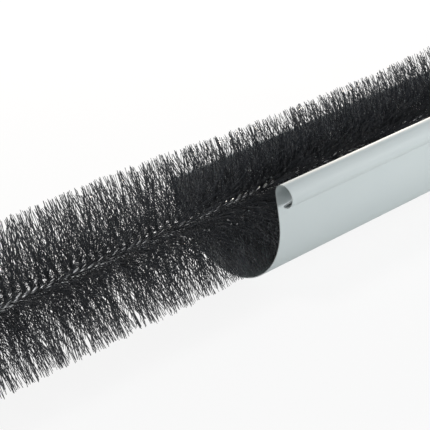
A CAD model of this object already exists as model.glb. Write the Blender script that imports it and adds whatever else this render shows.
import math
import random

import bmesh
import bpy
from mathutils import Matrix, Vector


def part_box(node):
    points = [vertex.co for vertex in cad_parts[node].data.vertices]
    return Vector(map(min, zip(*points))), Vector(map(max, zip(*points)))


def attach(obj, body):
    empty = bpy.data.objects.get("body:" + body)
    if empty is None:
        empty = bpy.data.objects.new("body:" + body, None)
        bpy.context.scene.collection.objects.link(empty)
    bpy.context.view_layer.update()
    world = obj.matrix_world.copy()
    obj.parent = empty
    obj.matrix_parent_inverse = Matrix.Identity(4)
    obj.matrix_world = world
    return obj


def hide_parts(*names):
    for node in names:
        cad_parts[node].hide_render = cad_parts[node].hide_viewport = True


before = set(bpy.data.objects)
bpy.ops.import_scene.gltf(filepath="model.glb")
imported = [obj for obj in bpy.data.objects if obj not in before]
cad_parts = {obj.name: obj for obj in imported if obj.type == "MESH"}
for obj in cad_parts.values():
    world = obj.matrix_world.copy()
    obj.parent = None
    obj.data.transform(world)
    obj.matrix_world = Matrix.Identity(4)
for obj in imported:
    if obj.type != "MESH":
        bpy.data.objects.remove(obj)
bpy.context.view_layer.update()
print("frame loaded")

mm = 0.001
white = (1.0, 1.0, 1.0, 1.0)
scene = bpy.context.scene

# sockets of a mix node that mixes two colours
mixShare, mixFirst, mixSecond, mixResult = 0, 6, 7, 2


def srgb(code):
    # "#rrggbb" to the linear colour that sockets take
    channels = [int(code[i:i + 2], 16) / 255 for i in (1, 3, 5)]
    return tuple(c / 12.92 if c <= 0.04045 else ((c + 0.055) / 1.055) ** 2.4 for c in channels) + (1.0,)


def addNode(tree, kind, settings=None, inputs=None, links=None):
    # one node with its settings, socket values and incoming links
    node = tree.nodes.new(kind)
    for name, value in (settings or {}).items():
        setattr(node, name, value)
    for name, value in (inputs or {}).items():
        node.inputs[name].default_value = value
    for name, source in (links or {}).items():
        tree.links.new(source, node.inputs[name])
    return node


def newMaterial(name):
    material = bpy.data.materials.new(name)
    material.use_nodes = True
    material.node_tree.nodes.clear()
    return material, material.node_tree


def meshObject(name, bm, materials, smoothAngle=35):
    # corners of less than smoothAngle degrees are shaded smooth
    bmesh.ops.recalc_face_normals(bm, faces=bm.faces)
    mesh = bpy.data.meshes.new(name)
    bm.to_mesh(mesh)
    bm.free()
    for material in materials:
        mesh.materials.append(material)
    mesh.shade_smooth()
    mesh.set_sharp_from_angle(angle=math.radians(smoothAngle))
    piece = bpy.data.objects.new(name, mesh)
    scene.collection.objects.link(piece)
    return piece


sheetLook = {
    "colourLow": "#c4cdce",
    "colourHigh": "#c9d1d1",
    "roughnessLow": 0.54,
    "roughnessHigh": 0.62,
    "ior": 1.5,
    "peel": 1.2,             # mm, the coating's orange peel
    "peelDepth": 0.05,       # mm
    "peelStrength": 0.05,
    "patch": 70.0,           # mm, slow changes of gloss
}


def coilCoatedSteel():
    # polyester coil coating on galvanised sheet: satin, light grey, with a faint orange peel
    material, tree = newMaterial("coil coated steel")
    place = addNode(tree, "ShaderNodeTexCoord")
    peel = addNode(tree, "ShaderNodeTexNoise",
                   inputs={"Scale": 1 / (sheetLook["peel"] * mm), "Detail": 2.0},
                   links={"Vector": place.outputs["Object"]})
    patch = addNode(tree, "ShaderNodeTexNoise",
                    inputs={"Scale": 1 / (sheetLook["patch"] * mm), "Detail": 3.0},
                    links={"Vector": place.outputs["Object"]})
    tint = addNode(tree, "ShaderNodeMix", {"data_type": "RGBA"},
                   {mixFirst: srgb(sheetLook["colourLow"]), mixSecond: srgb(sheetLook["colourHigh"])},
                   {mixShare: patch.outputs["Fac"]})
    gloss = addNode(tree, "ShaderNodeMapRange",
                    inputs={"To Min": sheetLook["roughnessLow"], "To Max": sheetLook["roughnessHigh"]},
                    links={"Value": patch.outputs["Fac"]})
    bump = addNode(tree, "ShaderNodeBump",
                   inputs={"Strength": sheetLook["peelStrength"], "Distance": sheetLook["peelDepth"] * mm},
                   links={"Height": peel.outputs["Fac"]})
    shader = addNode(tree, "ShaderNodeBsdfPrincipled", inputs={"IOR": sheetLook["ior"]},
                     links={"Base Color": tint.outputs[mixResult], "Roughness": gloss.outputs["Result"],
                            "Normal": bump.outputs["Normal"]})
    addNode(tree, "ShaderNodeOutputMaterial", links={"Surface": shader.outputs["BSDF"]})
    return material


edgeLook = {
    "colourLow": "#b9c0c0",
    "colourHigh": "#dfe3e1",
    "metallic": 0.35,
    "roughness": 0.42,
    "smear": 0.5,            # mm
}


def shearedZincEdge():
    # the sheet's sheared edge: bright zinc smeared unevenly over bare steel
    material, tree = newMaterial("sheared galvanised edge")
    place = addNode(tree, "ShaderNodeTexCoord")
    smear = addNode(tree, "ShaderNodeTexNoise",
                    inputs={"Scale": 1 / (edgeLook["smear"] * mm), "Detail": 3.0},
                    links={"Vector": place.outputs["Object"]})
    tone = addNode(tree, "ShaderNodeMix", {"data_type": "RGBA"},
                   {mixFirst: srgb(edgeLook["colourLow"]), mixSecond: srgb(edgeLook["colourHigh"])},
                   {mixShare: smear.outputs["Fac"]})
    shader = addNode(tree, "ShaderNodeBsdfPrincipled",
                     inputs={"Metallic": edgeLook["metallic"], "Roughness": edgeLook["roughness"]},
                     links={"Base Color": tone.outputs[mixResult]})
    addNode(tree, "ShaderNodeOutputMaterial", links={"Surface": shader.outputs["BSDF"]})
    return material


wireLook = {
    "colourLow": "#dfe2e4",
    "colourHigh": "#f8f9f9",
    "roughnessLow": 0.24,
    "roughnessHigh": 0.40,
    "metallic": 0.7,         # less than bare zinc, for the dull oxide on it
    "bloom": 3.0,            # mm, patches of zinc bloom
}


def galvanisedWire():
    # drawn steel wire, hot-dip galvanised: bright, slightly dulled by zinc bloom in patches
    material, tree = newMaterial("galvanised wire")
    place = addNode(tree, "ShaderNodeTexCoord")
    bloom = addNode(tree, "ShaderNodeTexNoise",
                    inputs={"Scale": 1 / (wireLook["bloom"] * mm), "Detail": 4.0},
                    links={"Vector": place.outputs["Object"]})
    tone = addNode(tree, "ShaderNodeMix", {"data_type": "RGBA"},
                   {mixFirst: srgb(wireLook["colourLow"]), mixSecond: srgb(wireLook["colourHigh"])},
                   {mixShare: bloom.outputs["Fac"]})
    rough = addNode(tree, "ShaderNodeMapRange",
                    inputs={"To Min": wireLook["roughnessLow"], "To Max": wireLook["roughnessHigh"]},
                    links={"Value": bloom.outputs["Fac"]})
    shader = addNode(tree, "ShaderNodeBsdfPrincipled", inputs={"Metallic": wireLook["metallic"]},
                     links={"Base Color": tone.outputs[mixResult], "Roughness": rough.outputs["Result"]})
    addNode(tree, "ShaderNodeOutputMaterial", links={"Surface": shader.outputs["BSDF"]})
    return material


bristleLook = {
    "colourLow": "#1f2125",
    "colourHigh": "#4a4e54",
    "roughnessLow": 0.10,
    "roughnessHigh": 0.20,
    "ior": 1.49,
    "specular": 0.7,
    "batch": 2.0,            # mm, changes of shade from one filament to the next
}


def extrudedPolypropylene():
    # black extruded filament: dense pigment under a smooth, slightly waxy skin with soft highlights
    material, tree = newMaterial("black polypropylene filament")
    place = addNode(tree, "ShaderNodeTexCoord")
    batch = addNode(tree, "ShaderNodeTexNoise",
                    inputs={"Scale": 1 / (bristleLook["batch"] * mm), "Detail": 2.0},
                    links={"Vector": place.outputs["Object"]})
    tone = addNode(tree, "ShaderNodeMix", {"data_type": "RGBA"},
                   {mixFirst: srgb(bristleLook["colourLow"]), mixSecond: srgb(bristleLook["colourHigh"])},
                   {mixShare: batch.outputs["Fac"]})
    rough = addNode(tree, "ShaderNodeMapRange",
                    inputs={"To Min": bristleLook["roughnessLow"], "To Max": bristleLook["roughnessHigh"]},
                    links={"Value": batch.outputs["Fac"]})
    shader = addNode(tree, "ShaderNodeBsdfPrincipled",
                     inputs={"IOR": bristleLook["ior"], "Specular IOR Level": bristleLook["specular"]},
                     links={"Base Color": tone.outputs[mixResult], "Roughness": rough.outputs["Result"]})
    addNode(tree, "ShaderNodeOutputMaterial", links={"Surface": shader.outputs["BSDF"]})
    return material


gutter = {
    "sheet": 0.8,            # mm, the sheet's thickness
    "beadRadius": 9.1,       # outside of the rolled bead
    "beadSweep": 274.0,      # degrees of roll before the lip's fold
    "lipTurn": 143.0,        # degrees that the lip folds back into the bead
    "lipLength": 9.6,
    "backRise": 4.5,         # straight back wall above the round
    "hemLength": 6.0,        # flattened hem along the back edge
    "foldGap": 0.4,          # clear space inside the hem and the lip's fold
    "roundFacet": 2.5,       # degrees of arc for each facet of the trough
    "beadFacet": 10.0,
    "foldFacet": 30.0,
    "weld": 0.001,           # points closer than this become one
    "edgeRound": 0.12,       # rounding of the sheared edges
    "edgeSegments": 2,
    "edgeAngle": 60.0,       # degrees; only sharper corners are rounded
}


def makeGutter(coating, edge):
    # the sheet's middle line is bent from the hem's free edge to the lip's, then drawn out and thickened
    low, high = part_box("gutter_channel")
    sheet = gutter["sheet"] * mm
    bead = gutter["beadRadius"] * mm
    fold = (gutter["foldGap"] + gutter["sheet"]) / 2 * mm
    inside = -(low.y + 2 * bead)                    # the bead stands wholly outside the wall's inner face
    middle = inside + sheet / 2
    beadHeight = high.z - bead
    roundHeight = inside + sheet                    # the round's centre, above the outside of the bottom
    hemTop = roundHeight + gutter["backRise"] * mm
    # a straight run is a length; an arc is a radius, a turn in degrees and the angle of its facets
    steps = [
        (gutter["hemLength"] * mm,),
        (fold, 180.0, gutter["foldFacet"]),
        (hemTop - roundHeight,),
        (middle, -180.0, gutter["roundFacet"]),
        (beadHeight - roundHeight,),
        (bead - sheet / 2, gutter["beadSweep"], gutter["beadFacet"]),
        (fold, gutter["lipTurn"], gutter["foldFacet"]),
        (gutter["lipLength"] * mm,),
    ]
    heading = math.radians(90)                      # from +Y towards +Z
    bm = bmesh.new()
    place = Vector((low.x, middle + 2 * fold, hemTop - gutter["hemLength"] * mm))
    tip = bmesh.ops.create_vert(bm, co=place)["vert"][0]
    for step in steps:
        ahead = Vector((0, math.cos(heading), math.sin(heading)))
        if len(step) == 1:
            tip = bmesh.ops.extrude_vert_indiv(bm, verts=[tip])["verts"][0]
            tip.co += ahead * step[0]
        else:
            radius, turn, facet = step
            side = Vector((0, -ahead.z, ahead.y)) * math.copysign(1, turn)
            end = bmesh.ops.spin(bm, geom=[tip], cent=tip.co + side * radius, axis=(1, 0, 0),
                                 dvec=(0, 0, 0), angle=math.radians(turn),
                                 steps=round(abs(turn) / facet), use_duplicate=False)["geom_last"]
            tip = [item for item in end if isinstance(item, bmesh.types.BMVert)][0]
            heading += math.radians(turn)
    bmesh.ops.remove_doubles(bm, verts=bm.verts, dist=gutter["weld"] * mm)
    drawn = bmesh.ops.extrude_edge_only(bm, edges=bm.edges[:])["geom"]
    moved = [item for item in drawn if isinstance(item, bmesh.types.BMVert)]
    bmesh.ops.translate(bm, verts=moved, vec=(high.x - low.x, 0, 0))
    piece = meshObject("gutterSheet", bm, [coating, edge])
    wall = piece.modifiers.new("sheet thickness", "SOLIDIFY")
    wall.thickness = sheet
    wall.offset = 0
    wall.use_even_offset = True
    wall.material_offset_rim = 1                    # the rim takes the sheared edge's material
    soften = piece.modifiers.new("rounded edges", "BEVEL")
    soften.width = gutter["edgeRound"] * mm
    soften.segments = gutter["edgeSegments"]
    soften.limit_method = "ANGLE"
    soften.angle_limit = math.radians(gutter["edgeAngle"])
    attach(piece, "gutter")
    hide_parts("gutter_channel")


core = {
    "count": 4,
    "diameter": 2.6,         # mm
    "circle": 2.03,          # radius of the circle that the wires' centres follow
    "pitch": 28.0,           # one whole turn, left-handed
    "stub": 6.0,             # bare core past the filaments
    "sides": 14,
    "stepsPerTurn": 28,
    "smoothAngle": 50,       # degrees
}


def brushAxis():
    # the brush's axis at its near end, and the length of the part that carries filaments
    low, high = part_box("bristle_fill")
    return Vector((low.x, (low.y + high.y) / 2, (low.z + high.z) / 2)), high.x - low.x


def twistAngle(along):
    # where the first wire is about the axis, from +Y towards +Z; along is metres past the brush's start
    lead = (core["stub"] + core["diameter"]) * mm
    return -math.pi / 2 - 2 * math.pi * (along + lead) / (core["pitch"] * mm)


def makeCoreWire(index, zinc):
    start, length = brushAxis()
    stub = core["stub"] * mm
    circle = core["circle"] * mm
    pitch = core["pitch"] * mm
    run = length + 2 * stub
    angle = twistAngle(-stub) + 2 * math.pi * index / core["count"]
    centre = start + Vector((-stub, 0, 0))
    slope = math.atan2(2 * math.pi * circle, pitch)
    bm = bmesh.new()
    bmesh.ops.create_circle(bm, cap_ends=False, segments=core["sides"], radius=core["diameter"] / 2 * mm)
    outwards = Matrix.Rotation(angle, 4, "X") @ Matrix.Translation((0, circle, 0))
    turned = outwards @ Matrix.Rotation(slope, 4, "Y") @ Matrix.Rotation(math.pi / 2, 4, "Y")
    bmesh.ops.transform(bm, matrix=Matrix.Translation(centre) @ turned, verts=bm.verts)
    steps = round(run / pitch * core["stepsPerTurn"])
    bmesh.ops.spin(bm, geom=bm.edges[:], cent=centre, axis=(1, 0, 0), dvec=(run / steps, 0, 0),
                   angle=-2 * math.pi * run / pitch, steps=steps, use_duplicate=False)
    bmesh.ops.holes_fill(bm, edges=[e for e in bm.edges if e.is_boundary], sides=0)
    piece = meshObject(f"coreWire{index + 1}", bm, [zinc], core["smoothAngle"])
    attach(piece, "brush")
    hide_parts(f"core_wire_{index + 1}")


bristles = {
    "perMillimetre": 7.2,    # filaments that cross each mm of the core, about half of what a real brush has
    "diameter": 0.5,         # mm
    "tuft": 3,               # filaments that lean alike
    "tuftSpread": 1.2,       # mm along the core
    "swing": (3.0, 7.0),     # degrees about the axis, of a whole tuft and of one filament
    "lean": (2.5, 5.0),      # degrees along the axis, of a whole tuft and of one filament
    "short": (1.0, 1.4),     # mm short of full reach, of a whole tuft and of one filament
    "endMargin": 1.0,        # mm at each end of the brush in which no filament crosses the core
    "bow": 1.2,              # mm of slow bend at the tip
    "crimp": 0.1,            # mm of wave either side
    "crimpSpread": 0.25,     # how much the wave differs between filaments, as a share of itself
    "crimpLength": (18.0, 30.0),     # mm from wave to wave
    "segments": 7,           # straight bits in each half
    "stretches": 6,          # separate meshes along the brush
    "crushed": 5.5,          # mm that the upper tips lose where the brush has lain in the trough
    "crushFrom": (-100.0, 80.0),     # mm from the gutter's near end, over which the loss sets in
    "crushTo": (180.0, 270.0),       # and over which it fades to a half
    "seed": 7,
}


def smoothStep(value, low, high):
    share = min(max((value - low) / (high - low), 0.0), 1.0)
    return share * share * (3 - 2 * share)


def upperLoss(depth):
    # how much shorter the filaments that point straight up are, depth metres into the gutter
    depth = depth / mm
    setIn = smoothStep(depth, *bristles["crushFrom"])
    fade = 1 - 0.5 * smoothStep(depth, *bristles["crushTo"])
    return bristles["crushed"] * setIn * fade * mm


def halfFilament(rng, x, angle, lean, reach, axis):
    # points from the core outwards; the wave sets in over the first third
    radial = Vector((0, math.cos(angle), math.sin(angle)))
    across = Vector((0, -math.sin(angle), math.cos(angle)))
    along = Vector((1, 0, 0))
    bowAlong, bowAcross = (rng.gauss(0, bristles["bow"]) * mm for _ in range(2))
    wave = rng.uniform(*bristles["crimpLength"]) * mm
    phase = rng.uniform(0, 2 * math.pi)
    plane = rng.uniform(0, 2 * math.pi)
    swing = rng.gauss(1.0, bristles["crimpSpread"]) * bristles["crimp"] * mm
    points = []
    for index in range(1, bristles["segments"] + 1):
        share = index / bristles["segments"]
        out = reach * share
        ripple = swing * min(1, 3 * share) * math.sin(phase + 2 * math.pi * out / wave)
        offAlong = math.tan(lean) * out + bowAlong * share**2 + ripple * math.cos(plane)
        offAcross = bowAcross * share**2 + ripple * math.sin(plane)
        straight = math.sqrt(max(out * out - offAcross * offAcross, 0.0))
        points.append(axis + along * (x - axis.x + offAlong) + radial * straight + across * offAcross)
    return points


def filamentSpace():
    # what the filaments have to keep to, in metres
    axis, length = brushAxis()
    low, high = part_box("bristle_fill")
    return {
        "axis": axis,
        "length": length,
        "start": low.x,
        "end": high.x,
        "reach": (high.z - low.z) / 2 - bristles["diameter"] / 2 * mm,
        "gutterStart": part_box("gutter_channel")[0].x,
    }


def tuftPaths(rng, middle, turn, space):
    # points of each filament of a tuft, from tip to tip; turn is the angle from the first wire to the
    # gap between two wires that they pass through
    axis, start, end, reach = (space[key] for key in ("axis", "start", "end", "reach"))
    margin = bristles["endMargin"] * mm
    tuftSwing = [math.radians(rng.gauss(0, bristles["swing"][0])) for _ in range(2)]
    tuftLean = [math.radians(rng.gauss(0, bristles["lean"][0])) for _ in range(2)]
    tuftShort = [abs(rng.gauss(0, bristles["short"][0])) * mm for _ in range(2)]
    paths = []
    for _ in range(bristles["tuft"]):
        x = middle + rng.gauss(0, bristles["tuftSpread"]) * mm
        x = min(max(x, start + margin), end - margin)
        halves = []
        for half in range(2):
            swing = tuftSwing[half] + math.radians(rng.gauss(0, bristles["swing"][1]))
            angle = twistAngle(x - start) + turn + half * math.pi + swing
            lean = tuftLean[half] + math.radians(rng.gauss(0, bristles["lean"][1]))
            room = (x - start if lean < 0 else end - x) + core["stub"] * mm / 2
            lean = math.copysign(min(abs(lean), math.atan2(room, reach)), lean)
            short = tuftShort[half] + abs(rng.gauss(0, bristles["short"][1])) * mm
            short += upperLoss(x - space["gutterStart"]) * max(0.0, math.sin(angle))
            halves.append(halfFilament(rng, x, angle, lean, reach - short, axis))
        paths.append(halves[0][::-1] + [axis + Vector((x - axis.x, 0, 0))] + halves[1])
    return paths


def makeBristleStretch(index, space, rng, plastic):
    name = f"bristleStretch{index + 1}"
    part = space["length"] / bristles["stretches"]
    tufts = round(bristles["perMillimetre"] * part / mm / bristles["tuft"])
    wireStep = 2 * math.pi / core["count"]
    curve = bpy.data.curves.new(name, "CURVE")
    curve.dimensions = "3D"
    curve.bevel_depth = bristles["diameter"] / 2 * mm
    curve.bevel_resolution = 0
    curve.use_fill_caps = True
    for tuft in range(tufts):
        middle = space["start"] + part * (index + (tuft + rng.random()) / tufts)
        turn = wireStep / 2 + (tuft % 2) * wireStep     # every other tuft takes the other two gaps
        for path in tuftPaths(rng, middle, turn, space):
            spline = curve.splines.new("POLY")
            spline.points.add(len(path) - 1)
            for point, place in zip(spline.points, path):
                point.co = (*place, 1)
            spline.use_smooth = True
    carrier = bpy.data.objects.new("filamentPaths", curve)
    scene.collection.objects.link(carrier)
    mesh = bpy.data.meshes.new_from_object(carrier.evaluated_get(bpy.context.evaluated_depsgraph_get()))
    bpy.data.objects.remove(carrier)
    mesh.name = name
    mesh.materials.clear()
    mesh.materials.append(plastic)
    mesh.shade_smooth()
    piece = bpy.data.objects.new(mesh.name, mesh)
    scene.collection.objects.link(piece)
    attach(piece, "brush")
    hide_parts("bristle_fill")


studio = {
    "aim": (-10.6, -0.4, 56.2),      # mm from the outside of the gutter's bottom, at its near end
    "azimuth": -36.78,       # degrees; 0 looks along +Y
    "elevation": 22.26,
    "roll": 8.57,
    "distance": 1008.6,      # mm
    "lens": 110.3,           # mm
    "clip": (0.05, 50.0),    # metres
    "floorReach": 12.0,      # metres to each side
    "floorColour": "#fbfbfa",
    "floorWhite": 0.88,      # share of plain white that the camera and reflections see in the floor
    "skyColour": "#f4f7fb",
    "ambient": 0.31,
    "lampAim": (0.0, 0.0, 0.06),     # metres
    "lamps": (               # name, place in metres, width in metres, watts, colour
        ("softboxAbove", (-0.3, 0.25, 1.8), 0.6, 8.5, "#ffffff"),
        ("softboxFront", (0.55, -1.8, 0.24), 0.36, 19, "#ffffff"),
        ("softboxBehind", (1.2, 1.6, 0.8), 0.35, 42, "#fff3e6"),
    ),
}


def makeCamera():
    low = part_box("gutter_channel")[0]
    aim = Vector((low.x, 0, low.z)) + Vector(studio["aim"]) * mm
    turn, rise = math.radians(studio["azimuth"]), math.radians(studio["elevation"])
    back = Vector((math.sin(turn) * math.cos(rise), -math.cos(turn) * math.cos(rise), math.sin(rise)))
    camera = bpy.data.objects.new("camera", bpy.data.cameras.new("camera"))
    scene.collection.objects.link(camera)
    camera.data.lens = studio["lens"]
    camera.data.clip_start, camera.data.clip_end = studio["clip"]
    camera.rotation_mode = "QUATERNION"
    camera.location = aim + back * studio["distance"] * mm
    level = (-back).to_track_quat("-Z", "Y")
    roll = Matrix.Rotation(math.radians(-studio["roll"]), 3, "Z").to_quaternion()
    camera.rotation_quaternion = level @ roll
    scene.camera = camera


def makeFloor():
    # pale paper; the camera and reflections see it almost plain white, with the object's shadow on it
    material, tree = newMaterial("studio floor")
    path = addNode(tree, "ShaderNodeLightPath")
    seen = addNode(tree, "ShaderNodeMath", {"operation": "MAXIMUM"},
                   links={0: path.outputs["Is Camera Ray"], 1: path.outputs["Is Glossy Ray"]})
    share = addNode(tree, "ShaderNodeMath", {"operation": "MULTIPLY"}, {1: studio["floorWhite"]},
                    {0: seen.outputs[0]})
    paper = addNode(tree, "ShaderNodeBsdfDiffuse", inputs={"Color": srgb(studio["floorColour"])})
    glow = addNode(tree, "ShaderNodeEmission", inputs={"Color": white, "Strength": 1.0})
    mix = addNode(tree, "ShaderNodeMixShader",
                  links={0: share.outputs[0], 1: paper.outputs[0], 2: glow.outputs[0]})
    addNode(tree, "ShaderNodeOutputMaterial", links={"Surface": mix.outputs[0]})
    bm = bmesh.new()
    bmesh.ops.create_grid(bm, x_segments=1, y_segments=1, size=studio["floorReach"])
    meshObject("studioFloor", bm, [material])


def makeWorld():
    # an even, pale sky that the camera and reflections see as white
    world = bpy.data.worlds.new("studio")
    scene.world = world
    world.use_nodes = True
    tree = world.node_tree
    tree.nodes.clear()
    path = addNode(tree, "ShaderNodeLightPath")
    seen = addNode(tree, "ShaderNodeMath", {"operation": "MAXIMUM"},
                   links={0: path.outputs["Is Camera Ray"], 1: path.outputs["Is Glossy Ray"]})
    ambient = addNode(tree, "ShaderNodeBackground",
                      inputs={"Color": srgb(studio["skyColour"]), "Strength": studio["ambient"]})
    plain = addNode(tree, "ShaderNodeBackground", inputs={"Color": white, "Strength": 1.0})
    mix = addNode(tree, "ShaderNodeMixShader",
                  links={0: seen.outputs[0], 1: ambient.outputs[0], 2: plain.outputs[0]})
    addNode(tree, "ShaderNodeOutputWorld", links={"Surface": mix.outputs[0]})


def makeLamps():
    for name, place, size, watts, colour in studio["lamps"]:
        lamp = bpy.data.objects.new(name, bpy.data.lights.new(name, "AREA"))
        lamp.data.size = size
        lamp.data.energy = watts
        lamp.data.color = srgb(colour)[:3]
        lamp.location = place
        lamp.rotation_mode = "QUATERNION"
        lamp.rotation_quaternion = (Vector(studio["lampAim"]) - Vector(place)).to_track_quat("-Z", "Y")
        scene.collection.objects.link(lamp)


def main():
    scene.view_settings.view_transform = "Standard"
    makeCamera()
    makeFloor()
    makeWorld()
    makeLamps()
    print("camera and studio ready")
    makeGutter(coilCoatedSteel(), shearedZincEdge())
    print("gutter ready")
    zinc = galvanisedWire()
    for index in range(core["count"]):
        makeCoreWire(index, zinc)
    print("core ready")
    plastic = extrudedPolypropylene()
    space = filamentSpace()
    rng = random.Random(bristles["seed"])
    for index in range(bristles["stretches"]):
        makeBristleStretch(index, space, rng, plastic)
        print("bristle stretch", index + 1, "ready")


main()
